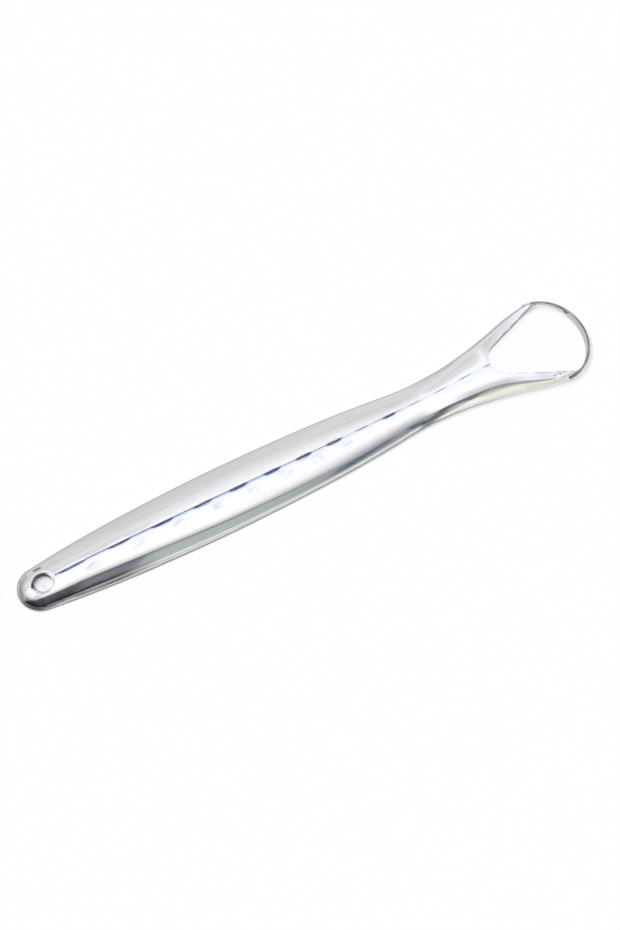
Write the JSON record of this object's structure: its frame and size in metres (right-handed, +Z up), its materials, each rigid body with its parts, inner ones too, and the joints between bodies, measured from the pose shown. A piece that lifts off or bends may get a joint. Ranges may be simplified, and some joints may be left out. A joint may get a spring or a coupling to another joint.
{
  "type": "tongue scraper",
  "caption": "Slim polished-steel tongue scraper: an arched handle with a hang hole, a flared head with an open window and a thin scraping hoop.",
  "frame": {"origin": "centre of the overall box in plan, on the resting plane that the handle's rim touches", "axes": "+X along the tool from the round end to the scraping hoop, +Z up from the hollow underside to the crest, +Y across the tool; the plane y = 0 is the mirror plane"},
  "size_m": [0.15, 0.023, 0.0035],
  "materials": {
    "polished_steel": "polished",
    "weld_steel": "satin"
  },
  "bodies": {
    "root": {"handle_shell": "polished_steel", "scraping_hoop": "polished_steel", "far_joint_bead": "weld_steel", "near_joint_bead": "weld_steel"}
  },
  "joints": []
}
